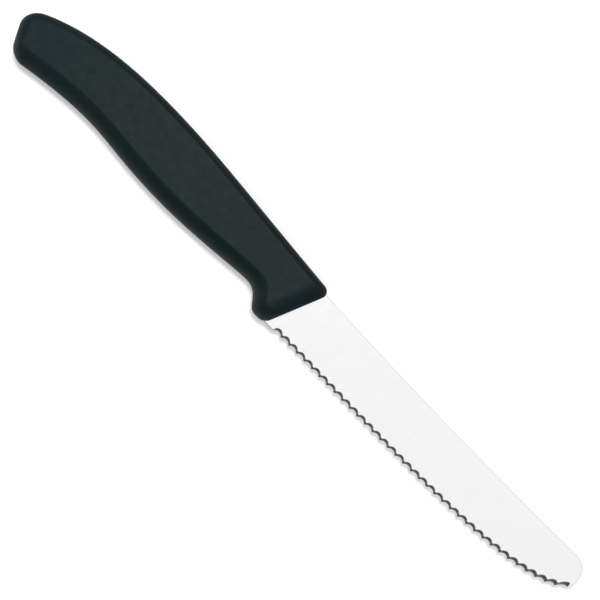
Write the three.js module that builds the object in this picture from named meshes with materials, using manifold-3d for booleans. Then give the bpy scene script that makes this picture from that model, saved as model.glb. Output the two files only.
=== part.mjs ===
// A serrated table knife with a round tip, lying on its left side.
// The blade is stamped from sheet, ground to a taper, and carries a hidden tang.
// The handle is moulded in one piece round that tang and locks into the tang's holes.
// Millimetres. X runs to the tip, Y from the edge to the spine, Z out of the right side.
// While modelling, the origin is where the spine leaves the handle, midway in the blade's thickness.

import * as THREE from 'three';
import { mergeVertices } from 'three/addons/utils/BufferGeometryUtils.js';
import Module from 'manifold-3d';

const wasm = await Module();
wasm.setup();

const degrees = THREE.MathUtils.degToRad;

// Blade in front of the handle
const BLADE_LENGTH = 105.25;
const BLADE_WIDTH = 17.55; // at its widest, where the straight edge ends
const HEEL_WIDTH = 17.4; // where the edge leaves the handle
const SPINE_THICKNESS = 1.2;
const EDGE_THICKNESS = 0.55; // of the ground taper at full width
const SPINE_HOLLOW = 0.75; // sag of the spine below its chord
const SPINE_CHAMFER = 0.15;
const NOSE_RADIUS = 5.2;
const NOSE_DROP = 0.12; // top of the nose below the spine at the handle
const EDGE_STRAIGHT = 28.8; // straight edge ahead of the handle, before it sweeps up
const SWEEP_FROM_STRAIGHT = 35.8; // pull of the sweep along the straight edge
const SWEEP_FROM_NOSE = 11.7; // pull of the sweep down from the nose

// Scalloped edge, ground from the right side only
const SCALLOP_PITCH = 3.03;
const SCALLOP_DEPTH = 0.71;
const TOOTH_ROUND = 0.42; // radius of the tooth tips
const TOOTH_SETBACK = 0.18; // tooth tips behind the line of the unground edge
const SCALLOP_BEVEL = degrees(35); // between the ground facet and the blade's plane
const PLAIN_HEEL = 3; // unground edge between the handle and the first tooth
const PLAIN_NOSE = 3.5; // unground edge between the last tooth and the foremost point
const RUN_OUT = 0.2; // beyond the first and last hollow, the grinding leaves the blade
const NOSE_HOLLOW_STRETCH = 1.35; // the last hollow's outer half is drawn out along the edge

// Tang
const SEAT_DEPTH = 1.1; // how far the full-width blade reaches into the handle
const TANG_LENGTH = 62; // behind the seat
const TANG_WIDTH = 9;
const TANG_DROP = 1.2; // below the spine
const TANG_END_RADIUS = 2.5;
const TANG_HOLE = 5; // diameter
const TANG_HOLE_SETBACK = 24; // first hole's centre behind the seat
const TANG_HOLE_SPACING = 26;

// Handle
const HANDLE_THICKNESS = 10;
const HANDLE_SPINE_LENGTH = 115.8; // to the butt's spine corner, before it is rounded
const FRONT_SLANT = degrees(21); // front line, its lower end set back
const FRONT_RISE = 1.27; // handle above the spine at the front
const FRONT_FACE = 4.4; // thickness of the blunt front round the blade
const FRONT_ROLL = 5; // how far the front rounds over
const FRONT_SPINE_ROUND = 2.8;
const FRONT_GUARD_ROUND = 2.1;
const BUTT_SLANT = degrees(28.1); // butt line, its lower end set forward
const BUTT_WIDTH = 14.05;
const BUTT_DROP = 4.93; // butt's spine corner below the blade's spine
const BUTT_ROLL = 4; // how far the butt rounds over
const BUTT_SPINE_ROUND = 4.9;
const BUTT_HEEL_ROUND = 4.1;
const BACK_ROLL = 2.6; // radius of the two corners beside the flat back
const BELLY_ROLL = 4.8; // how far the belly rounds over
const BELLY_FULLNESS = 1.6; // exponent of the belly's section: 2 is an ellipse, 1 a straight bevel
const BACK_FULLNESS = 2;
const LEAST_FACE = 0.1; // share of a section that stays flat where the rolls have little room

// Lowest and highest places of the handle's outline: behind the front, above or below the spine
const HUMP_BACK = 67.4;
const HUMP_HEIGHT = 5.6;
const GUARD_BACK = 10.3;
const GUARD_DEPTH = 18.05;
const NOTCH_BACK = 18.9;
const NOTCH_DEPTH = 13;
const BELLY_BACK = 52;
const BELLY_DEPTH = 15.4;
const WAIST_BACK = 80.9;
const WAIST_DEPTH = 13.93;

// Pull of each outline curve along its end tangents, front end first
const FRONT_TO_HUMP_PULL = [36.7, 19.1];
const HUMP_TO_BUTT_PULL = [22.9, 11.3];
const GUARD_TO_NOTCH_PULL = [3.55, 5.5];
const NOTCH_TO_BELLY_PULL = [3.95, 13.9];
const BELLY_TO_WAIST_PULL = [15.3, 9];
const WAIST_TO_HEEL_PULL = [8.6, 10];

// Slopes of the outline at its two ends, rise over run towards the butt
const FRONT_SLOPE = 0.07;
const BUTT_SPINE_SLOPE = -0.61;
const BUTT_HEEL_SLOPE = -0.196;

// Clearance of the moulded seat all round the blade and tang
const SEAT_GAP = 0.3;

// Fineness of the facets
const OUTLINE_STEPS = 40;
const SPINE_STEPS = 24;
const HOLLOW_STEPS = 8;
const TOOTH_STEPS = 4;
const HOLE_STEPS = 12;
const FRONT_STEPS = 9;
const GUARD_STEPS = 10;
const GRIP_STEPS = 24;
const BUTT_STEPS = 9;
const BELLY_ROLL_STEPS = 9;
const BACK_ROLL_STEPS = 7;

const CUTTER_MARGIN = 0.25; // cutting bodies run this far past what they cut
const MERGE_TOLERANCE = 1e-3;

// Closed geometry to solid, and back
function solidOf(geometry) {
  const bare = geometry.clone();
  bare.deleteAttribute('normal');
  bare.deleteAttribute('uv');
  const merged = mergeVertices(bare, MERGE_TOLERANCE);
  const mesh = new wasm.Mesh({
    numProp: 3,
    vertProperties: new Float32Array(merged.attributes.position.array),
    triVerts: new Uint32Array(merged.index.array),
  });
  return new wasm.Manifold(mesh);
}

function geometryOf(solid) {
  const { vertProperties, triVerts } = solid.getMesh();
  const geometry = new THREE.BufferGeometry();
  geometry.setAttribute('position', new THREE.Float32BufferAttribute(vertProperties, 3));
  geometry.setIndex(Array.from(triVerts));
  geometry.computeVertexNormals();
  return geometry;
}

// Skin through rings of equal length; each ring runs anticlockwise seen from the last one.
// The first ring is closed by a flat cap, and so is the last one unless it has sunk to a line.
function loft(rings, endCapped) {
  const count = rings[0].length;
  const index = [];
  for (let r = 0; r + 1 < rings.length; r += 1) {
    for (let i = 0; i < count; i += 1) {
      const a = r * count + i;
      const b = r * count + ((i + 1) % count);
      index.push(a, b, b + count, a, b + count, a + count);
    }
  }
  const last = (rings.length - 1) * count;
  for (let i = 1; i + 1 < count; i += 1) {
    index.push(0, i + 1, i);
    if (endCapped) index.push(last, last + i, last + i + 1);
  }
  const geometry = new THREE.BufferGeometry().setFromPoints(rings.flat());
  geometry.setIndex(index);
  return geometry;
}

// Plate of the given plan, centred on the blade's plane; thicknessAt gives its thickness at each height
function plate(plan, thicknessAt, options = {}) {
  const geometry = new THREE.ExtrudeGeometry(plan, { depth: 1, bevelEnabled: false, ...options });
  const position = geometry.attributes.position;
  geometry.computeBoundingBox();
  const { min, max } = geometry.boundingBox;
  for (let i = 0; i < position.count; i += 1) {
    const share = (position.getZ(i) - min.z) / (max.z - min.z) - 0.5;
    position.setZ(i, share * thicknessAt(position.getY(i)));
  }
  return solidOf(geometry);
}

// Thickness of the taper-ground blade at a height below the spine line
function bladeThickness(y) {
  return SPINE_THICKNESS + ((SPINE_THICKNESS - EDGE_THICKNESS) * y) / BLADE_WIDTH;
}

// The handle's front line and the blade's seat are parallel to each other
function frontLine(y, setback = 0) {
  return new THREE.Vector2(y * Math.tan(FRONT_SLANT) - setback, y);
}

// Line of the unground edge, from the handle to the foremost point of the nose
function edgeLine() {
  const heel = frontLine(-HEEL_WIDTH);
  const straightEnd = new THREE.Vector2(EDGE_STRAIGHT, -BLADE_WIDTH);
  const foremost = new THREE.Vector2(BLADE_LENGTH, -NOSE_DROP - NOSE_RADIUS);
  const line = new THREE.CurvePath();
  line.add(new THREE.LineCurve(heel, straightEnd));
  line.add(new THREE.CubicBezierCurve(
    straightEnd,
    new THREE.Vector2(EDGE_STRAIGHT + SWEEP_FROM_STRAIGHT, -BLADE_WIDTH),
    new THREE.Vector2(BLADE_LENGTH, foremost.y - SWEEP_FROM_NOSE),
    foremost,
  ));
  return line;
}

// Full-width part of the blank: hollow spine, round nose, unground edge, slanted seat
function bladePlan(edge) {
  const noseStart = BLADE_LENGTH - NOSE_RADIUS;
  const seatTop = frontLine(0, SEAT_DEPTH);
  const seatBottom = frontLine(-HEEL_WIDTH, SEAT_DEPTH);
  const spine = new THREE.QuadraticBezierCurve(
    new THREE.Vector2(0, 0),
    new THREE.Vector2(noseStart / 2, -NOSE_DROP / 2 - 2 * SPINE_HOLLOW),
    new THREE.Vector2(noseStart, -NOSE_DROP),
  );
  const nose = new THREE.EllipseCurve(
    noseStart, -NOSE_DROP - NOSE_RADIUS, NOSE_RADIUS, NOSE_RADIUS, Math.PI / 2, 0, true,
  );
  const sweep = edge.curves[1].getPoints(OUTLINE_STEPS).reverse();
  return new THREE.Shape([
    seatTop,
    ...spine.getPoints(SPINE_STEPS),
    ...nose.getPoints(SPINE_STEPS).slice(1),
    ...sweep.slice(1),
    seatBottom,
  ]);
}

// Grinding body of the scalloped edge: a slanted facet that follows a row of round hollows.
// Along the row its depth runs over circles, a hollow and a rounded tooth touching in turn.
// The first and last hollow run out of the blade. The facet is ground straight across the knife.
function scallopCutter(edge) {
  const length = edge.getLength();
  const room = length - PLAIN_HEEL - PLAIN_NOSE;
  const count = Math.round(room / SCALLOP_PITCH);
  const pitch = room / count;
  const centres = (pitch ** 2 / 4 + SCALLOP_DEPTH ** 2) / (2 * SCALLOP_DEPTH);
  const hollowRound = centres - TOOTH_ROUND;
  const steepest = Math.asin(pitch / 2 / centres);
  const slope = Math.tan(SCALLOP_BEVEL);
  const clear = -SPINE_THICKNESS / slope - CUTTER_MARGIN;
  const outside = clear - (2 * CUTTER_MARGIN) / slope;

  const station = (along, depth) => {
    const foot = edge.getPoint(along / length);
    const half = bladeThickness(foot.y) / 2;
    const place = (inward, z) => new THREE.Vector3(foot.x, foot.y + inward, z);
    const low = -half - CUTTER_MARGIN;
    const high = half + CUTTER_MARGIN;
    const facet = (z) => depth + (z + half) / slope;
    return [
      place(outside, low),
      place(facet(low), low),
      place(facet(high), high),
      place(outside, high),
    ];
  };

  const rings = [];
  const hollowFloor = TOOTH_SETBACK + SCALLOP_DEPTH;
  for (let hollow = 0; hollow < count; hollow += 1) {
    const middle = PLAIN_HEEL + (hollow + 0.5) * pitch;
    const last = hollow === count - 1;
    const from = hollow === 0 ? -Math.PI / 2 : -steepest;
    const to = last ? Math.PI / 2 : steepest;
    const aheadReach = last ? NOSE_HOLLOW_STRETCH * hollowRound : hollowRound;
    if (hollow === 0) rings.push(station(middle - hollowRound - RUN_OUT, clear));
    for (let k = 0; k <= HOLLOW_STEPS; k += 1) {
      const turn = THREE.MathUtils.lerp(from, to, k / HOLLOW_STEPS);
      const depth = hollowFloor - hollowRound * (1 - Math.cos(turn));
      const reach = turn > 0 ? aheadReach : hollowRound;
      rings.push(station(middle + reach * Math.sin(turn), depth));
    }
    if (last) rings.push(station(middle + aheadReach + RUN_OUT, clear));
    for (let k = 1; k < TOOTH_STEPS && !last; k += 1) {
      const turn = THREE.MathUtils.lerp(-steepest, steepest, k / TOOTH_STEPS);
      const depth = TOOTH_SETBACK + TOOTH_ROUND * (1 - Math.cos(turn));
      rings.push(station(middle + pitch / 2 + TOOTH_ROUND * Math.sin(turn), depth));
    }
  }
  return solidOf(loft(rings, true));
}

// Tang outline, grown by a clearance on every side; its holes shrink by the same amount
function tangPlan(grow, front) {
  const top = -TANG_DROP + grow;
  const bottom = -TANG_DROP - TANG_WIDTH - grow;
  const end = -SEAT_DEPTH - TANG_LENGTH - grow;
  const corner = TANG_END_RADIUS + grow;
  const plan = new THREE.Shape();
  plan.moveTo(frontLine(top, front).x, top);
  plan.lineTo(end + corner, top);
  plan.absarc(end + corner, top - corner, corner, Math.PI / 2, Math.PI, false);
  plan.lineTo(end, bottom + corner);
  plan.absarc(end + corner, bottom + corner, corner, Math.PI, 1.5 * Math.PI, false);
  plan.lineTo(frontLine(bottom, front).x, bottom);
  plan.closePath();
  for (const along of [0, TANG_HOLE_SPACING]) {
    const hole = new THREE.Path();
    const x = -SEAT_DEPTH - TANG_HOLE_SETBACK - along;
    hole.absarc(x, (top + bottom) / 2, TANG_HOLE / 2 - grow, 0, 2 * Math.PI, true);
    plan.holes.push(hole);
  }
  return plan;
}

// Unground tang of full sheet thickness, starting just inside the blade's seat
function tang(grow) {
  const thickness = SPINE_THICKNESS + 2 * grow;
  return plate(tangPlan(grow, SEAT_DEPTH / 2), () => thickness, { curveSegments: HOLE_STEPS });
}

function blade() {
  const edge = edgeLine();
  const chamferShare = SPINE_CHAMFER / SPINE_THICKNESS;
  const blank = plate(bladePlan(edge), bladeThickness, {
    depth: 1 - 2 * chamferShare,
    bevelEnabled: true,
    bevelThickness: chamferShare,
    bevelSize: SPINE_CHAMFER,
    bevelOffset: -SPINE_CHAMFER,
    bevelSegments: 1,
  });
  return geometryOf(blank.subtract(scallopCutter(edge)).add(tang(0)));
}

// Room that the blade and tang take up inside the handle, with their clearance.
// Below the heel the seat is open, because the guard ends level with the edge there.
function bladeSeat() {
  const ahead = -FRONT_ROLL;
  const behind = SEAT_DEPTH + SEAT_GAP / Math.cos(FRONT_SLANT);
  const below = -GUARD_DEPTH - SEAT_GAP;
  const wide = new THREE.Shape([
    frontLine(SEAT_GAP, behind),
    frontLine(below, behind),
    frontLine(below, ahead),
    frontLine(SEAT_GAP, ahead),
  ]);
  const mouth = plate(wide, (y) => bladeThickness(y) + 2 * SEAT_GAP);
  return mouth.add(tang(SEAT_GAP));
}

// Cubic curve between two outline points, pulled along the slope at each end
function outlineCurve(start, end, pull, startSlope = 0, endSlope = 0) {
  return new THREE.CubicBezierCurve(
    start,
    new THREE.Vector2(start.x - pull[0], start.y + startSlope * pull[0]),
    new THREE.Vector2(end.x + pull[1], end.y - endSlope * pull[1]),
    end,
  );
}

// Height of an outline, drawn from front to butt, at a given place along the knife
function heightAlong(curves) {
  const points = curves.flatMap((curve) => curve.getPoints(OUTLINE_STEPS));
  return (x) => {
    const found = points.findIndex((point) => point.x < x);
    const next = found < 0 ? points.length - 1 : Math.max(found, 1);
    const a = points[next - 1];
    const b = points[next];
    return a.y + ((b.y - a.y) * (x - a.x)) / (b.x - a.x);
  };
}

// Share of the full height at a distance in from a rounded border
function rollShare(distance, roll) {
  const left = Math.max(1 - distance / roll, 0);
  return Math.sqrt(1 - left ** 2);
}

// Place on a roll of unit size, from its border (0) to the flat face (1): a superellipse
function rollShape(share, fullness) {
  const turn = share * (Math.PI / 2);
  const inward = 1 - Math.cos(turn) ** (2 / fullness);
  const upward = Math.sin(turn) ** (2 / fullness);
  return { inward, upward };
}

// Handle skin: sections from the belly side to the spine side, fanning from front line to butt line.
// Each section has a round belly, a flat face on both sides, and a flat back with rounded corners.
// It gets thinner towards the blunt front, and at the butt it sinks to the parting plane.
function handleSkin() {
  const frontSpine = frontLine(FRONT_RISE);
  const frontGuard = frontLine(-GUARD_DEPTH);
  const buttSpine = new THREE.Vector2(-HANDLE_SPINE_LENGTH, -BUTT_DROP);
  const buttHeel = new THREE.Vector2(
    buttSpine.x + BUTT_WIDTH * Math.sin(BUTT_SLANT),
    buttSpine.y - BUTT_WIDTH * Math.cos(BUTT_SLANT),
  );
  const hump = new THREE.Vector2(-HUMP_BACK, HUMP_HEIGHT);
  const guard = new THREE.Vector2(-GUARD_BACK, -GUARD_DEPTH);
  const notch = new THREE.Vector2(-NOTCH_BACK, -NOTCH_DEPTH);
  const belly = new THREE.Vector2(-BELLY_BACK, -BELLY_DEPTH);
  const waist = new THREE.Vector2(-WAIST_BACK, -WAIST_DEPTH);
  const spineHeight = heightAlong([
    outlineCurve(frontSpine, hump, FRONT_TO_HUMP_PULL, FRONT_SLOPE),
    outlineCurve(hump, buttSpine, HUMP_TO_BUTT_PULL, 0, BUTT_SPINE_SLOPE),
  ]);
  const bellyHeight = heightAlong([
    new THREE.LineCurve(frontGuard, guard),
    outlineCurve(guard, notch, GUARD_TO_NOTCH_PULL),
    outlineCurve(notch, belly, NOTCH_TO_BELLY_PULL),
    outlineCurve(belly, waist, BELLY_TO_WAIST_PULL),
    outlineCurve(waist, buttHeel, WAIST_TO_HEEL_PULL, 0, BUTT_HEEL_SLOPE),
  ]);
  const bellyLength = frontGuard.x - buttHeel.x;

  const section = (fromFront) => {
    const fromButt = bellyLength - fromFront;
    const spineX = THREE.MathUtils.lerp(frontSpine.x, buttSpine.x, fromFront / bellyLength);
    const bellyX = frontGuard.x - fromFront;
    const spineEnd = new THREE.Vector2(spineX, spineHeight(spineX));
    const bellyEnd = new THREE.Vector2(bellyX, bellyHeight(bellyX));
    const across = spineEnd.clone().sub(bellyEnd).normalize();
    const inset = (distance, radius) => radius * (1 - rollShare(distance, radius));
    const bellyInset = inset(fromFront, FRONT_GUARD_ROUND) + inset(fromButt, BUTT_HEEL_ROUND);
    const spineInset = inset(fromFront, FRONT_SPINE_ROUND) + inset(fromButt, BUTT_SPINE_ROUND);
    bellyEnd.addScaledVector(across, bellyInset);
    spineEnd.addScaledVector(across, -spineInset);
    const behindFace = (HANDLE_THICKNESS - FRONT_FACE) * rollShare(fromFront, FRONT_ROLL);
    const half = ((FRONT_FACE + behindFace) / 2) * rollShare(fromButt, BUTT_ROLL);
    const room = (1 - LEAST_FACE) * spineEnd.distanceTo(bellyEnd);
    const fit = Math.min(room / (BELLY_ROLL + BACK_ROLL), 1);
    const right = [];
    for (let k = 0; k <= BELLY_ROLL_STEPS; k += 1) {
      const { inward, upward } = rollShape(k / BELLY_ROLL_STEPS, BELLY_FULLNESS);
      const { x, y } = bellyEnd.clone().addScaledVector(across, fit * BELLY_ROLL * inward);
      right.push(new THREE.Vector3(x, y, half * upward));
    }
    for (let k = BACK_ROLL_STEPS; k >= 0; k -= 1) {
      const { inward, upward } = rollShape(k / BACK_ROLL_STEPS, BACK_FULLNESS);
      const { x, y } = spineEnd.clone().addScaledVector(across, -fit * BACK_ROLL * inward);
      const drop = (BACK_ROLL / (HANDLE_THICKNESS / 2)) * (1 - upward);
      right.push(new THREE.Vector3(x, y, half * (1 - drop)));
    }
    const left = right.slice(1).reverse().map((point) => new THREE.Vector3(point.x, point.y, -point.z));
    return [...right, ...left];
  };

  const guardSpan = [FRONT_ROLL, NOTCH_BACK + frontGuard.x];
  const buttSpan = Math.max(BUTT_ROLL, BUTT_SPINE_ROUND, BUTT_HEEL_ROUND);
  const places = [];
  for (let k = 0; k < FRONT_STEPS; k += 1) {
    places.push(FRONT_ROLL * (1 - Math.cos((k / FRONT_STEPS) * (Math.PI / 2))));
  }
  for (let k = 0; k < GUARD_STEPS; k += 1) {
    places.push(THREE.MathUtils.lerp(...guardSpan, k / GUARD_STEPS));
  }
  for (let k = 0; k < GRIP_STEPS; k += 1) {
    places.push(THREE.MathUtils.lerp(guardSpan[1], bellyLength - buttSpan, k / GRIP_STEPS));
  }
  for (let k = BUTT_STEPS; k >= 0; k -= 1) {
    places.push(bellyLength - buttSpan * (1 - Math.cos((k / BUTT_STEPS) * (Math.PI / 2))));
  }
  return loft(places.map(section), false);
}

function handle() {
  return geometryOf(solidOf(handleSkin()).subtract(bladeSeat()));
}

// Ground stainless steel and black moulded plastic
const steel = new THREE.MeshStandardMaterial({ color: 0xe2e3e3, roughness: 0.3, metalness: 1 });
const plastic = new THREE.MeshStandardMaterial({ color: 0x272f31, roughness: 0.55, metalness: 0 });

function part(name, geometry, material) {
  const mesh = new THREE.Mesh(geometry, material);
  mesh.name = name;
  return mesh;
}

// Stand the origin under the middle of the knife, on the surface it lies on
const knife = new THREE.Group();
knife.add(part('blade', blade(), steel), part('handle', handle(), plastic));
const box = new THREE.Box3().setFromObject(knife);
const middle = box.getCenter(new THREE.Vector3());
knife.position.set(-middle.x, -middle.y, -box.min.z);

const object = new THREE.Group();
object.add(knife);

export default object;
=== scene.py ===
"""Looks of a serrated table knife: a ground steel blade and a black moulded handle on a white table.

Lengths are in metres. Outlines are drawn in the knife's own plane, with the origin where the spine
leaves the handle, X to the tip and Y from the edge to the spine, and are then set into the frame.
"""

from math import cos, pi, radians, sin, tan

import bmesh
import bpy
import numpy as np
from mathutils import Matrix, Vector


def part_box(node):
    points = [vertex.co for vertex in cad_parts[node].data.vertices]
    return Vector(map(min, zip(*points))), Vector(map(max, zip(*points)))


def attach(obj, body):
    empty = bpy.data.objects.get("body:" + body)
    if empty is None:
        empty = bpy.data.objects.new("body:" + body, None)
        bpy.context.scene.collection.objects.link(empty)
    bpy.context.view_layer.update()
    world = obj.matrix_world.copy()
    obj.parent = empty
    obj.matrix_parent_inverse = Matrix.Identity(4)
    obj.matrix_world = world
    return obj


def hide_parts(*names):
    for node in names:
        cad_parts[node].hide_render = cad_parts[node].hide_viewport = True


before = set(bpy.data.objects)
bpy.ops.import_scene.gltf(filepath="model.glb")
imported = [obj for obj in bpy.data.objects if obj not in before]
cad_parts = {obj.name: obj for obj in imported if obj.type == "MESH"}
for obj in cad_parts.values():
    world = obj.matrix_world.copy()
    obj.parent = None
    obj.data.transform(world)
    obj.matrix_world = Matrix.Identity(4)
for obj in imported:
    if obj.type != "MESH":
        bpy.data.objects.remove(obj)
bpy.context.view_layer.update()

MM = 0.001

# Blade
BLADE_LENGTH = 105.25 * MM
BLADE_WIDTH = 17.55 * MM
HEEL_WIDTH = 17.4 * MM
SPINE_THICKNESS = 1.2 * MM
EDGE_THICKNESS = 0.55 * MM
SPINE_HOLLOW = 0.75 * MM
RIM_BREAK = 0.13 * MM
RIM_DROP = 0.088 * MM
NOSE_RADIUS = 5.2 * MM
NOSE_DROP = 0.12 * MM
EDGE_STRAIGHT = 28.8 * MM
SWEEP_FROM_STRAIGHT = 35.8 * MM
SWEEP_FROM_NOSE = 11.7 * MM
SEAT_DEPTH = 1.1 * MM

# Scalloped edge, ground from the right side only
SCALLOP_PITCH = 3.03 * MM
SCALLOP_DEPTH = 0.71 * MM
TOOTH_ROUND = 0.42 * MM
TOOTH_SETBACK = 0.18 * MM
SCALLOP_BEVEL = radians(35)
PLAIN_HEEL = 3 * MM
PLAIN_NOSE = 3.5 * MM
NOSE_HOLLOW_STRETCH = 1.35
RUN_OUT = 0.2 * MM
RUN_OUT_SLOPE = 6.0
SQUARING = 1.2 * MM

# Handle
HANDLE_THICKNESS = 10 * MM
HANDLE_SPINE_LENGTH = 115.8 * MM
FRONT_SLANT = radians(21)
FRONT_RISE = 1.27 * MM
FRONT_FACE = 4.4 * MM
FRONT_ROLL = 5 * MM
FRONT_SPINE_ROUND = 2.8 * MM
FRONT_GUARD_ROUND = 2.1 * MM
BUTT_SLANT = radians(28.1)
BUTT_WIDTH = 14.05 * MM
BUTT_DROP = 4.93 * MM
BUTT_ROLL = 3 * MM
BUTT_SPINE_ROUND = 4.9 * MM
BUTT_HEEL_ROUND = 4.1 * MM
BACK_ROLL = 2.2 * MM
BACK_FULLNESS = 1.6
BELLY_ROLL = 4.8 * MM
BELLY_FULLNESS = 1.6
LEAST_FACE = 0.1

# Turning points of the handle's outline, X and Y from the drawing's origin
HUMP = np.array([-67.4, 5.6]) * MM
GUARD = np.array([-10.3, -18.05]) * MM
NOTCH = np.array([-18.9, -13.0]) * MM
BELLY = np.array([-52.0, -15.4]) * MM
WAIST = np.array([-80.9, -13.93]) * MM

# Pull of each outline curve along its end tangents, front end first
FRONT_TO_HUMP = np.array([36.7, 19.1]) * MM
HUMP_TO_BUTT = np.array([22.9, 11.3]) * MM
GUARD_TO_NOTCH = np.array([3.55, 5.5]) * MM
NOTCH_TO_BELLY = np.array([3.95, 13.9]) * MM
BELLY_TO_WAIST = np.array([15.3, 9.0]) * MM
WAIST_TO_HEEL = np.array([8.6, 10.0]) * MM
FRONT_SLOPE = 0.07
BUTT_SPINE_SLOPE = -0.61
BUTT_HEEL_SLOPE = -0.196

# Fineness of the grids
CURVE_SAMPLES = 4000
SEAT_STEPS = 4
PLAIN_HEEL_STEPS = 32
STEPS_PER_SCALLOP = 24
PLAIN_NOSE_STEPS = 48
FACET_STEPS = 4
FACE_STEPS = 20
HANDLE_END_STEPS = 40
HANDLE_GRIP_STEPS = 240
ROLL_STEPS = 26
PANEL_STEPS = 24
MERGE_DISTANCE = 1e-7
SHARP_ANGLE = radians(28)

# Places of the blade's finishes among its materials
SIDE_FINISH = 0
FACET_FINISH = 1
RIM_FINISH = 2

# Plastic: patterns in cells per metre, relief as height and strength, pairs from low to high
MOULD_TEXTURE = 3600
MOULD_CLOUDS = 450
MOULD_SHADES = 24
MOULD_RELIEF = (0.018 * MM, 0.5)
PLASTIC_COLOURS = ((0.0046, 0.0121, 0.0145), (0.0064, 0.0153, 0.0179))
PLASTIC_ROUGHNESS = (0.38, 0.50)
PLASTIC_GLOSS = 0.092

# Roughness that the plastic gains towards the butt, and between which places along X
BUTT_DULLING = 0.1
DULLING_BETWEEN = (-58 * MM, -108 * MM)

# Steel: patterns in cells per metre along X, Y and Z, relief as height and strength, pairs from low to high
GRINDING_LINES = (9000, 160, 160)
GRINDING_RELIEF = (0.001 * MM, 0.2)
SIDE_COLOURS = ((0.845, 0.845, 0.845), (0.875, 0.875, 0.875))
SIDE_ROUGHNESS = (0.10, 0.14)
WHEEL_MARKS = (5200, 420, 420)
WHEEL_RELIEF = (0.004 * MM, 0.4)
# The facets' colours are painted dark: painted shade for the dim surroundings that the facets mirror
FACET_PAINTED_DARK_COLOURS = ((0.14, 0.14, 0.118), (0.18, 0.18, 0.15))
FACET_ROUGHNESS = (0.40, 0.50)
STAMPING_MARKS = (4200, 4200, 300)
STAMPING_RELIEF = (0.002 * MM, 0.3)
RIM_COLOURS = ((0.40, 0.40, 0.39), (0.50, 0.50, 0.49))
RIM_ROUGHNESS = (0.34, 0.44)

# Part of a noise's range over which colours and roughness go from low to high
NOISE_RANGE = (0.3, 0.7)

# View: the knife lies turned in the picture, seen from straight above; lens and sensor are in millimetres
VIEW_TURN = radians(46)
VIEW_WIDTH = 166.7 * MM
VIEW_PAN = np.array([-0.085, 0.03]) * MM
LENS = 200
SENSOR = 36

# Light: tilts are from the vertical, turns from the picture's upper side, edges from dim to full glow
SUN_STRENGTH = 1.8
SUN_TILT = radians(15)
SUN_TURN = radians(-20)
SUN_ANGLE = radians(13)
CEILING_GLOW = 1.0
CEILING_DIM = 0.05
CEILING_TILT = radians(12)
CEILING_TURN = radians(-20)
CEILING_EDGE = (radians(38), radians(22))
FLANK_GLOW = 0.95
FLANK_TILT = radians(50)
FLANK_TURN = radians(75)
FLANK_EDGE = (radians(46), radians(24))

# Room that is only seen or mirrored: fades are over sines of the bearing from +X and of the height
WALL_GLOW = 0.62
WALL_DIM = 0.1
WALL_FADE = (-0.95, -0.2)
HORIZON_FADE = (0.09, 0.14)

# White table
TABLE_SIZE = 8.0
TABLE_COLOUR = (0.82, 0.82, 0.82, 1)
TABLE_LIFT = 0.30
WHITE = (1, 1, 1, 1)


def knife_origin():
    """Drawing's origin in the frame: tip, guard and the middle of the handle's thickness are shared."""
    blade_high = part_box("blade")[1]
    handle_low, handle_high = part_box("handle")
    return np.array([
        blade_high.x - BLADE_LENGTH,
        handle_low.y - GUARD[1],
        (handle_low.z + handle_high.z) / 2,
    ])


def cubic(start, leave, arrive, end):
    """Points of a cubic curve: the Bernstein sum of two ends and two pull points."""
    t = np.linspace(0, 1, CURVE_SAMPLES)[:, None]
    u = 1 - t
    return u ** 3 * start + 3 * t * u ** 2 * leave + 3 * t ** 2 * u * arrive + t ** 3 * end


def running_length(line):
    """Distance of each point from the line's start, as the running sum of the line's steps."""
    return np.concatenate([[0], np.cumsum(np.linalg.norm(np.diff(line, axis=0), axis=1))])


def walk(line, distance):
    """Places and unit tangents at distances along a line, interpolated on its running length."""
    run = running_length(line)
    slope = np.gradient(line, run, axis=0)
    place = np.stack([np.interp(distance, run, line[:, k]) for k in range(2)], -1)
    tangent = np.stack([np.interp(distance, run, slope[:, k]) for k in range(2)], -1)
    return place, tangent / np.linalg.norm(tangent, axis=-1, keepdims=True)


def joined(*lines):
    """Lines end to end, without repeating the shared points."""
    return np.concatenate([lines[0], *(line[1:] for line in lines[1:])])


def eased(steps):
    """Shares from 0 to 1, crowded towards both ends as a half cosine."""
    return (1 - np.cos(np.linspace(0, pi, steps + 1))) / 2


def front_line(y):
    """Point at a height on the slanted line where handle and blade meet."""
    return np.array([y * tan(FRONT_SLANT), y])


def edge_line():
    """Line of the unground edge: straight from the seat, then one cubic sweep up to the foremost point."""
    heel = front_line(-HEEL_WIDTH)
    straight_end = np.array([EDGE_STRAIGHT, -BLADE_WIDTH])
    foremost = np.array([BLADE_LENGTH, -NOSE_DROP - NOSE_RADIUS])
    sweep = cubic(
        straight_end,
        straight_end + [SWEEP_FROM_STRAIGHT, 0],
        foremost - [0, SWEEP_FROM_NOSE],
        foremost,
    )
    straight = np.linspace(heel, straight_end, CURVE_SAMPLES)
    return joined(straight, sweep)


def spine_line():
    """Line of the spine: a slightly hollow quadratic, then a quarter circle round the nose."""
    nose = np.array([BLADE_LENGTH - NOSE_RADIUS, -NOSE_DROP])
    middle = np.array([nose[0] / 2, -NOSE_DROP / 2 - 2 * SPINE_HOLLOW])
    start = np.zeros(2)
    hollow = cubic(start, start + (middle - start) * 2 / 3, nose + (middle - nose) * 2 / 3, nose)
    turn = np.linspace(pi / 2, 0, CURVE_SAMPLES)
    arc = nose + NOSE_RADIUS * np.stack([np.cos(turn), np.sin(turn) - 1], -1)
    return joined(hollow, arc)


def half_thickness(y):
    """Half of the tapered blade's thickness, falling evenly from spine to edge."""
    return (SPINE_THICKNESS + (SPINE_THICKNESS - EDGE_THICKNESS) * y / BLADE_WIDTH) / 2


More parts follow.
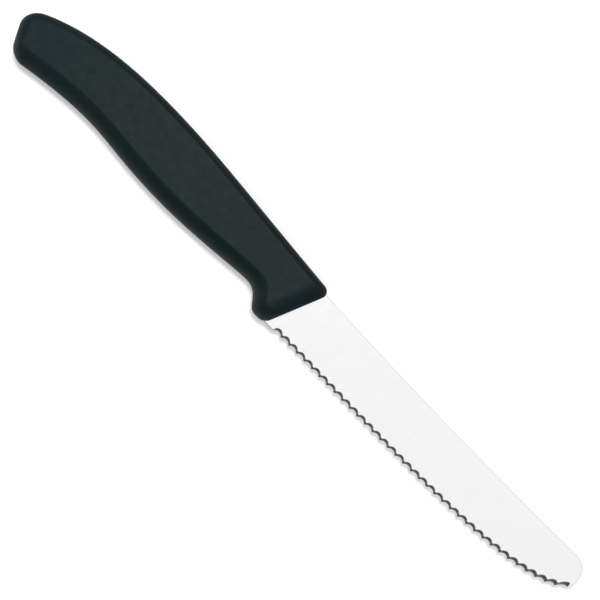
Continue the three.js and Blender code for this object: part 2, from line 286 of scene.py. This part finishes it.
def rim_shares(half):
    """Heights of a rim's corners as shares of the half thickness: both faces and the feet of both breaks."""
    foot = 1 - RIM_DROP / half
    return np.concatenate([-np.ones_like(half), -foot, foot, np.ones_like(half)], 1)


def rim_inset(height, half):
    """How far a rim with two broken edges lies inside its outline, at a height from the middle plane."""
    return np.maximum(np.abs(height) - (half - RIM_DROP), 0) * RIM_BREAK / RIM_DROP


def scallop_row(length):
    """Number and pitch of the scallops that fit between the two plain ends."""
    room = length - PLAIN_HEEL - PLAIN_NOSE
    count = round(room / SCALLOP_PITCH)
    return count, room / count


def hollow_circle(pitch):
    """Distance between a hollow's centre and a tooth's, and the hollow's radius: the two circles touch."""
    centres = (pitch ** 2 / 4 + SCALLOP_DEPTH ** 2) / (2 * SCALLOP_DEPTH)
    return centres, centres - TOOTH_ROUND


def scallop_foot(along, length):
    """Depth of the ground facet's foot behind the edge line: hollow circles and rounded teeth in turn.

    The first hollow and the last one run on over their own circle, and then down a steep line, out of
    the blade. The last one's outer half is drawn out along the edge.
    """
    count, pitch = scallop_row(length)
    centres, hollow_round = hollow_circle(pitch)
    cell = np.clip(np.floor((along - PLAIN_HEEL) / pitch), 0, count - 1)
    offset = along - PLAIN_HEEL - (cell + 0.5) * pitch
    nose_half = (cell == count - 1) & (offset > 0)
    across = np.abs(offset) / np.where(nose_half, NOSE_HOLLOW_STRETCH, 1)
    outer = ((cell == 0) & (offset < 0)) | nose_half
    hollow = SCALLOP_DEPTH - hollow_round + np.sqrt(np.maximum(hollow_round ** 2 - across ** 2, 0))
    hollow = hollow - RUN_OUT_SLOPE * np.maximum(across - hollow_round, 0)
    tooth = TOOTH_ROUND - np.sqrt(np.maximum(TOOTH_ROUND ** 2 - (pitch / 2 - across) ** 2, 0))
    in_hollow = outer | (across < pitch / 2 * hollow_round / centres)
    return TOOTH_SETBACK + np.where(in_hollow, hollow, tooth)


def blade_stations(length):
    """Distances of the blade's sections along the edge: even steps in the seat, heel, scallops and nose."""
    count, pitch = scallop_row(length)
    return np.concatenate([
        np.linspace(-SEAT_DEPTH, 0, SEAT_STEPS, endpoint=False),
        np.linspace(0, PLAIN_HEEL, PLAIN_HEEL_STEPS, endpoint=False),
        PLAIN_HEEL + pitch * np.linspace(0, count, count * STEPS_PER_SCALLOP, endpoint=False),
        length - PLAIN_NOSE * (1 - np.linspace(0, 1, PLAIN_NOSE_STEPS + 1)),
    ])


def edge_inward(along, heading, length):
    """Unit vectors from the edge line into the blade.

    Over the scallops they run straight across the knife. Past the last one they turn evenly until they
    are square to the edge line.
    """
    pitch = scallop_row(length)[1]
    last_reach = NOSE_HOLLOW_STRETCH * hollow_circle(pitch)[1] - pitch / 2
    scalloped_end = length - PLAIN_NOSE + last_reach + RUN_OUT
    square = np.clip((along - scalloped_end) / SQUARING, 0, 1)[:, None]
    square_to_edge = np.stack([-heading[:, 1], heading[:, 0]], -1)
    inward = (1 - square) * [0, 1] + square * square_to_edge
    return inward / np.linalg.norm(inward, axis=1, keepdims=True)


def edge_section(foot, inward, depth):
    """Points round the edge, rim first and then facet, and their heights as shares of the half thickness.

    A point lies as far in as the deeper of the rim and the facet, which slants in from its foot at the
    bevel.
    """
    half = half_thickness(foot[:, 1])[:, None]
    meet = np.clip(-1 - depth * tan(SCALLOP_BEVEL) / half, -1, 1)
    rim_share = np.minimum(rim_shares(half), meet)
    facet_share = meet + (1 - meet) * np.linspace(0, 1, FACET_STEPS + 1)[1:]
    share = np.concatenate([rim_share, facet_share], 1)
    height = share * half
    inset = np.maximum(rim_inset(height, half), depth + (height + half) / tan(SCALLOP_BEVEL))
    return foot[:, None] + inward[:, None] * inset[..., None], share


def spine_section(crest, inward):
    """Points round the spine's rim, right side first, and their heights as shares of the half thickness."""
    half = half_thickness(crest[:, 1])[:, None]
    share = -rim_shares(half)
    inset = rim_inset(share * half, half)
    return crest[:, None] + inward[:, None] * inset[..., None], share


def blade_rings():
    """Sections of the blade from the seat to the nose, as (section, point, xyz).

    A section runs from the edge line to the spine line, at the same share of both. Round it come the edge,
    the right side, the spine and the left side, and the sides are straight. At the nose edge and spine
    meet, so that the last section folds onto the rim.
    """
    edge, spine = edge_line(), spine_line()
    edge_length, spine_length = running_length(edge)[-1], running_length(spine)[-1]
    along = blade_stations(edge_length)
    share = np.maximum(along / edge_length, 0)
    into_seat = np.minimum(along, 0)[:, None] * [1, 0]
    foot, heading = walk(edge, share * edge_length)
    crest, leading = walk(spine, share * spine_length)
    depth = scallop_foot(along, edge_length)[:, None]
    inward = edge_inward(along, heading, edge_length)
    edge_points, edge_share = edge_section(foot + into_seat, inward, depth)
    spine_inward = np.stack([leading[:, 1], -leading[:, 0]], -1)
    spine_points, spine_share = spine_section(crest + into_seat, spine_inward)

    between = eased(FACE_STEPS)[1:-1][None, :, None]
    right = edge_points[:, -1:] * (1 - between) + spine_points[:, :1] * between
    left = spine_points[:, -1:] * (1 - between) + edge_points[:, :1] * between
    plan = np.concatenate([edge_points, right, spine_points, left], 1)
    side = np.ones(right.shape[:2])
    share_up = np.concatenate([edge_share, side, spine_share, -side], 1)
    height = share_up * half_thickness(plan[..., 1])
    return np.concatenate([plan, height[..., None]], -1)


def blade_finishes():
    """Finish of each face round a blade's section; a rim's own lies between its two broken edges."""
    rim = [SIDE_FINISH, RIM_FINISH, SIDE_FINISH]
    facet = [FACET_FINISH] * FACET_STEPS
    side = [SIDE_FINISH] * FACE_STEPS
    return [*rim, *facet, *side, *rim, *side]


def roll_share(distance, roll):
    """Share of the full height at a distance in from a rounded border: a quarter circle."""
    return np.sqrt(1 - np.maximum(1 - distance / roll, 0) ** 2)


def corner_inset(distance, radius):
    """How far a round corner lies inside a square one, at a distance from its end: a quarter circle."""
    return radius * (1 - roll_share(distance, radius))


def roll_shape(fullness):
    """Way in and way up over a roll of unit size, from its border to the flat face: a superellipse."""
    turn = np.linspace(0, pi / 2, ROLL_STEPS + 1)
    return 1 - np.maximum(np.cos(turn), 0) ** (2 / fullness), np.sin(turn) ** (2 / fullness)


def pulled(start, end, pull, start_slope=0.0, end_slope=0.0):
    """Cubic from start back to end, pulled along the slope at each end."""
    leave = start + pull[0] * np.array([-1, start_slope])
    arrive = end + pull[1] * np.array([1, -end_slope])
    return cubic(start, leave, arrive, end)


def outline_at(x, *curves):
    """Points at places along the knife on an outline whose curves run from front to butt."""
    line = joined(*curves)[::-1]
    return np.stack([x, np.interp(x, line[:, 0], line[:, 1])], -1)


def handle_stations(length):
    """Distances of the handle's sections from the front: by one minus cosine at both ends, even between."""
    butt_span = max(BUTT_ROLL, BUTT_SPINE_ROUND, BUTT_HEEL_ROUND)
    rounding = 1 - np.cos(np.linspace(0, pi / 2, HANDLE_END_STEPS + 1))
    return np.concatenate([
        FRONT_ROLL * rounding[:-1],
        np.linspace(FRONT_ROLL, length - butt_span, HANDLE_GRIP_STEPS, endpoint=False),
        length - butt_span * rounding[::-1],
    ])


def handle_half(from_front, from_butt):
    """Half thickness of the handle: quarter circles from the blunt front and to nothing at the butt."""
    behind_face = (HANDLE_THICKNESS - FRONT_FACE) * roll_share(from_front, FRONT_ROLL)
    return (FRONT_FACE + behind_face) / 2 * roll_share(from_butt, BUTT_ROLL)


def handle_section(low, high):
    """Places across one side of the handle, from belly to back, and their shares of the half thickness.

    A superellipse roll over the belly comes first, then the flat face and a superellipse corner to the
    flat back. Where a section is narrow, roll and corner shrink alike, so that some of the face is left.
    """
    fit = np.minimum((1 - LEAST_FACE) * (high - low) / (BELLY_ROLL + BACK_ROLL), 1)
    belly_in, belly_up = roll_shape(BELLY_FULLNESS)
    back_in, back_up = roll_shape(BACK_FULLNESS)
    back_up = 1 - BACK_ROLL / (HANDLE_THICKNESS / 2) * (1 - back_up)
    belly_crease, back_crease = low + fit * BELLY_ROLL, high - fit * BACK_ROLL
    belly_roll = low + fit * BELLY_ROLL * belly_in
    face = belly_crease + (back_crease - belly_crease) * eased(PANEL_STEPS)[1:-1]
    back_corner = high - fit * BACK_ROLL * back_in[::-1]
    share_up = np.concatenate([belly_up, np.ones(PANEL_STEPS - 1), back_up[::-1]])
    return np.concatenate([belly_roll, face, back_corner], 1), share_up


def handle_rings():
    """Sections of the handle from front to butt, as (section, point, xyz).

    They fan from the slanted front line to the slanted butt line, each from a point of the belly's outline
    to one of the back's. The left side mirrors the right one.
    """
    front_spine, front_guard = front_line(FRONT_RISE), front_line(GUARD[1])
    butt_spine = np.array([-HANDLE_SPINE_LENGTH, -BUTT_DROP])
    butt_heel = butt_spine + BUTT_WIDTH * np.array([sin(BUTT_SLANT), -cos(BUTT_SLANT)])
    length = front_guard[0] - butt_heel[0]
    stations = handle_stations(length)
    back = outline_at(
        front_spine[0] + (butt_spine[0] - front_spine[0]) * stations / length,
        pulled(front_spine, HUMP, FRONT_TO_HUMP, FRONT_SLOPE),
        pulled(HUMP, butt_spine, HUMP_TO_BUTT, 0, BUTT_SPINE_SLOPE),
    )
    belly = outline_at(
        front_guard[0] - stations,
        np.linspace(front_guard, GUARD, CURVE_SAMPLES),
        pulled(GUARD, NOTCH, GUARD_TO_NOTCH),
        pulled(NOTCH, BELLY, NOTCH_TO_BELLY),
        pulled(BELLY, WAIST, BELLY_TO_WAIST),
        pulled(WAIST, butt_heel, WAIST_TO_HEEL, 0, BUTT_HEEL_SLOPE),
    )
    width = np.linalg.norm(back - belly, axis=-1, keepdims=True)
    across = (back - belly) / width

    from_front = stations[:, None]
    from_butt = length - from_front
    belly_inset = corner_inset(from_front, FRONT_GUARD_ROUND) + corner_inset(from_butt, BUTT_HEEL_ROUND)
    spine_inset = corner_inset(from_front, FRONT_SPINE_ROUND) + corner_inset(from_butt, BUTT_SPINE_ROUND)
    place, share_up = handle_section(belly_inset, width - spine_inset)
    plan = belly[:, None] + across[:, None] * place[..., None]
    height = share_up * handle_half(from_front, from_butt)
    right = np.concatenate([plan, height[..., None]], -1)
    left = right[:, :0:-1] * [1, 1, -1]
    return np.concatenate([right, left], 1)


def placed(name, data):
    """New object in the scene."""
    made = bpy.data.objects.new(name, data)
    bpy.context.scene.collection.objects.link(made)
    return made


def solid_of(name, rings, materials, finishes=0):
    """Closed mesh of a grid of sections; its first section is capped, equal points are merged.

    The faces round a section take the materials that finishes numbers, in the order of the section's
    points. The cap takes the first one.
    """
    sections, points = rings.shape[:2]
    index = np.arange(sections * points).reshape(sections, points)
    after = np.roll(index, -1, 1)
    quads = np.stack([index[:-1], after[:-1], after[1:], index[1:]], -1).reshape(-1, 4)
    cap = index[0, ::-1]
    corners = rings.reshape(-1, 3) + knife_origin()
    mesh = bpy.data.meshes.new(name)
    mesh.from_pydata(corners.tolist(), [], [*quads.tolist(), cap.tolist()])
    for material in materials:
        mesh.materials.append(material)
    of_faces = np.append(np.tile(np.broadcast_to(finishes, points), sections - 1), 0)
    mesh.polygons.foreach_set("material_index", of_faces.astype(np.int32))
    shape = bmesh.new()
    shape.from_mesh(mesh)
    bmesh.ops.remove_doubles(shape, verts=shape.verts, dist=MERGE_DISTANCE)
    bmesh.ops.recalc_face_normals(shape, faces=shape.faces)
    shape.to_mesh(mesh)
    shape.free()
    mesh.shade_smooth()
    mesh.set_sharp_from_angle(angle=SHARP_ANGLE)
    return placed(name, mesh)


def new_material(name):
    """Material with its node tree and its surface shader's inputs."""
    material = bpy.data.materials.new(name)
    material.use_nodes = True
    return material, material.node_tree, material.node_tree.nodes["Principled BSDF"].inputs


def add(tree, kind, values=(), **settings):
    """New node with its plain settings and its input values."""
    made = tree.nodes.new(kind)
    for key, value in settings.items():
        setattr(made, key, value)
    for key, value in dict(values).items():
        made.inputs[key].default_value = value
    return made


def combine(tree, operation, first, second):
    """Sum, product or maximum of two numbers."""
    made = add(tree, "ShaderNodeMath", operation=operation)
    tree.links.new(first, made.inputs[0])
    tree.links.new(second, made.inputs[1])
    return made.outputs[0]


def remap(tree, value, between, low, high, easing="LINEAR"):
    """Number that goes from low to high as value goes over a range, evenly or as a smooth step."""
    ends = {"From Min": between[0], "From Max": between[1], "To Min": low, "To Max": high}
    made = add(tree, "ShaderNodeMapRange", ends, interpolation_type=easing)
    tree.links.new(value, made.inputs["Value"])
    return made.outputs["Result"]


def grain(tree, scale, detail, stretch=(1, 1, 1)):
    """Noise on the piece's own coordinates, with scale times stretch cells per metre on each axis."""
    place = add(tree, "ShaderNodeTexCoord")
    stretched = add(tree, "ShaderNodeMapping", {"Scale": stretch})
    noise = add(tree, "ShaderNodeTexNoise", {"Scale": scale, "Detail": detail})
    tree.links.new(place.outputs["Object"], stretched.inputs["Vector"])
    tree.links.new(stretched.outputs["Vector"], noise.inputs["Vector"])
    return noise.outputs["Fac"]


def shaded(tree, noise, low, high):
    """Colour from low to high over the used range of a noise."""
    made = add(tree, "ShaderNodeValToRGB")
    for stop, position, colour in zip(made.color_ramp.elements, NOISE_RANGE, (low, high)):
        stop.position = position
        stop.color = (*colour, 1)
    tree.links.new(noise, made.inputs["Fac"])
    return made.outputs["Color"]


def bump(tree, pattern, height, strength):
    """Normal of a relief that follows a pattern, of the given height."""
    made = add(tree, "ShaderNodeBump", {"Distance": height, "Strength": strength})
    tree.links.new(pattern, made.inputs["Height"])
    return made.outputs["Normal"]


def moulded_plastic():
    """Black plastic with a fine matt mould texture and faint clouding, duller towards the butt."""
    material, tree, shader = new_material("moulded_plastic")
    texture = grain(tree, MOULD_TEXTURE, detail=3)
    clouds = grain(tree, MOULD_CLOUDS, detail=4)
    shades = grain(tree, MOULD_SHADES, detail=1)
    place = add(tree, "ShaderNodeTexCoord")
    along = add(tree, "ShaderNodeSeparateXYZ")
    tree.links.new(place.outputs["Object"], along.inputs["Vector"])
    clouding = remap(tree, clouds, NOISE_RANGE, *PLASTIC_ROUGHNESS)
    dulling = remap(tree, along.outputs["X"], DULLING_BETWEEN, 0, BUTT_DULLING, "SMOOTHSTEP")
    shader["Specular IOR Level"].default_value = PLASTIC_GLOSS
    tree.links.new(shaded(tree, shades, *PLASTIC_COLOURS), shader["Base Color"])
    tree.links.new(combine(tree, "ADD", clouding, dulling), shader["Roughness"])
    tree.links.new(bump(tree, texture, *MOULD_RELIEF), shader["Normal"])
    return material


def marked_steel(name, marks, colours, roughness, relief, detail):
    """Bare steel whose colour, roughness and relief all follow one pattern of marks."""
    material, tree, shader = new_material(name)
    pattern = grain(tree, scale=1, detail=detail, stretch=marks)
    shader["Metallic"].default_value = 1
    tree.links.new(shaded(tree, pattern, *colours), shader["Base Color"])
    tree.links.new(remap(tree, pattern, NOISE_RANGE, *roughness), shader["Roughness"])
    tree.links.new(bump(tree, pattern, *relief), shader["Normal"])
    return material


def ground_steel():
    """Satin stainless steel with fine grinding lines across the blade."""
    return marked_steel(
        "ground_steel", GRINDING_LINES, SIDE_COLOURS, SIDE_ROUGHNESS, GRINDING_RELIEF, detail=2
    )


def facet_steel_painted_dark():
    """Steel of the ground facets, with coarser wheel marks, its colour painted dark as painted shade for the
    dim surroundings that the facets mirror.
    """
    return marked_steel(
        "facet_steel_painted_dark", WHEEL_MARKS, FACET_PAINTED_DARK_COLOURS, FACET_ROUGHNESS, WHEEL_RELIEF, detail=3
    )


def rim_steel():
    """Duller steel of the stamped rim, with faint marks through its thickness."""
    return marked_steel(
        "rim_steel", STAMPING_MARKS, RIM_COLOURS, RIM_ROUGHNESS, STAMPING_RELIEF, detail=2
    )


def shown_directly(tree):
    """One for rays that come from the camera, a mirroring surface or a clear one, else zero."""
    path = add(tree, "ShaderNodeLightPath").outputs
    seen = combine(tree, "MAXIMUM", path["Is Camera Ray"], path["Is Glossy Ray"])
    return combine(tree, "MAXIMUM", seen, path["Is Transmission Ray"])


def white_table():
    """White table under the knife, lit by the lamps and lifted to white where it is seen or mirrored."""
    half = TABLE_SIZE / 2
    corners = [(-half, -half, 0), (half, -half, 0), (half, half, 0), (-half, half, 0)]
    mesh = bpy.data.meshes.new("white_table")
    mesh.from_pydata(corners, [], [(0, 1, 2, 3)])
    table = placed("white_table", mesh)
    material, tree, shader = new_material("white_table")
    shader["Base Color"].default_value = TABLE_COLOUR
    shader["Roughness"].default_value = 1
    shader["Specular IOR Level"].default_value = 0
    shader["Emission Color"].default_value = WHITE
    lift = add(tree, "ShaderNodeMath", {1: TABLE_LIFT}, operation="MULTIPLY")
    tree.links.new(shown_directly(tree), lift.inputs[0])
    tree.links.new(lift.outputs[0], shader["Emission Strength"])
    mesh.materials.append(material)


def towards(tilt, turn):
    """Unit vector that leans from the vertical by tilt, towards the picture's upper side turned by turn."""
    heading = VIEW_TURN + pi / 2 + turn
    return np.array([sin(tilt) * cos(heading), sin(tilt) * sin(heading), cos(tilt)])


def glowing_disc(tree, direction, centre, edge, dim, glow):
    """Round patch of sky: from dim to glow as the angle to its centre goes over its soft edge."""
    nearness = add(tree, "ShaderNodeVectorMath", {1: centre}, operation="DOT_PRODUCT")
    tree.links.new(direction, nearness.inputs[0])
    return remap(tree, nearness.outputs["Value"], np.cos(edge), dim, glow, "SMOOTHSTEP")


def pale_walls(tree, direction):
    """Walls all round the knife, dimmest on the side that its edge faces."""
    level = add(tree, "ShaderNodeVectorMath", {1: (1, 1, 0)}, operation="MULTIPLY")
    bearing = add(tree, "ShaderNodeVectorMath", operation="NORMALIZE")
    spineward = add(tree, "ShaderNodeVectorMath", {1: (0, 1, 0)}, operation="DOT_PRODUCT")
    tree.links.new(direction, level.inputs[0])
    tree.links.new(level.outputs["Vector"], bearing.inputs[0])
    tree.links.new(bearing.outputs["Vector"], spineward.inputs[0])
    return remap(tree, spineward.outputs["Value"], WALL_FADE, WALL_DIM, WALL_GLOW, "SMOOTHSTEP")


def studio():
    """Soft surroundings: a glowing ceiling and flank, and pale walls and a white horizon where seen."""
    world = bpy.data.worlds.new("studio")
    bpy.context.scene.world = world
    world.use_nodes = True
    tree = world.node_tree
    direction = add(tree, "ShaderNodeTexCoord").outputs["Generated"]
    axes = add(tree, "ShaderNodeSeparateXYZ")
    tree.links.new(direction, axes.inputs["Vector"])
    overhead, beside = towards(CEILING_TILT, CEILING_TURN), towards(FLANK_TILT, FLANK_TURN)
    ceiling = glowing_disc(tree, direction, overhead, CEILING_EDGE, CEILING_DIM, CEILING_GLOW)
    flank = glowing_disc(tree, direction, beside, FLANK_EDGE, 0, FLANK_GLOW)
    lights = combine(tree, "MAXIMUM", ceiling, flank)
    horizon = remap(tree, axes.outputs["Z"], HORIZON_FADE, 1, 0, "SMOOTHSTEP")
    room = combine(tree, "MAXIMUM", pale_walls(tree, direction), horizon)
    seen_room = combine(tree, "MULTIPLY", room, shown_directly(tree))
    background = tree.nodes["Background"].inputs
    background["Color"].default_value = WHITE
    tree.links.new(combine(tree, "MAXIMUM", lights, seen_room), background["Strength"])


def soft_sun():
    """One wide sun that leans from the vertical to the picture's upper side, turned a little."""
    lamp = bpy.data.lights.new("soft_sun", "SUN")
    lamp.energy = SUN_STRENGTH
    lamp.angle = SUN_ANGLE
    sun = placed("soft_sun", lamp)
    sun.rotation_euler = (SUN_TILT, 0, VIEW_TURN + pi + SUN_TURN)


def camera():
    """Camera straight above the middle of the knife, turned so that the knife lies as in the picture."""
    data = bpy.data.cameras.new("camera")
    data.lens = LENS
    data.sensor_width = SENSOR
    eye = placed("camera", data)
    eye.location = (*VIEW_PAN, knife_origin()[2] + VIEW_WIDTH * LENS / SENSOR)
    eye.rotation_euler = (0, 0, VIEW_TURN)
    bpy.context.scene.camera = eye


def ground_blade():
    """The blade with its three finishes, in place of its solid."""
    materials = [ground_steel(), facet_steel_painted_dark(), rim_steel()]
    blade = solid_of("ground_blade", blade_rings(), materials, blade_finishes())
    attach(blade, "root")
    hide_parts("blade")


def moulded_handle():
    """The handle, in place of its solid."""
    handle = solid_of("moulded_handle", handle_rings(), [moulded_plastic()])
    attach(handle, "root")
    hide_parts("handle")


ground_blade()
moulded_handle()
white_table()
studio()
soft_sun()
camera()
bpy.context.scene.view_settings.view_transform = "Standard"
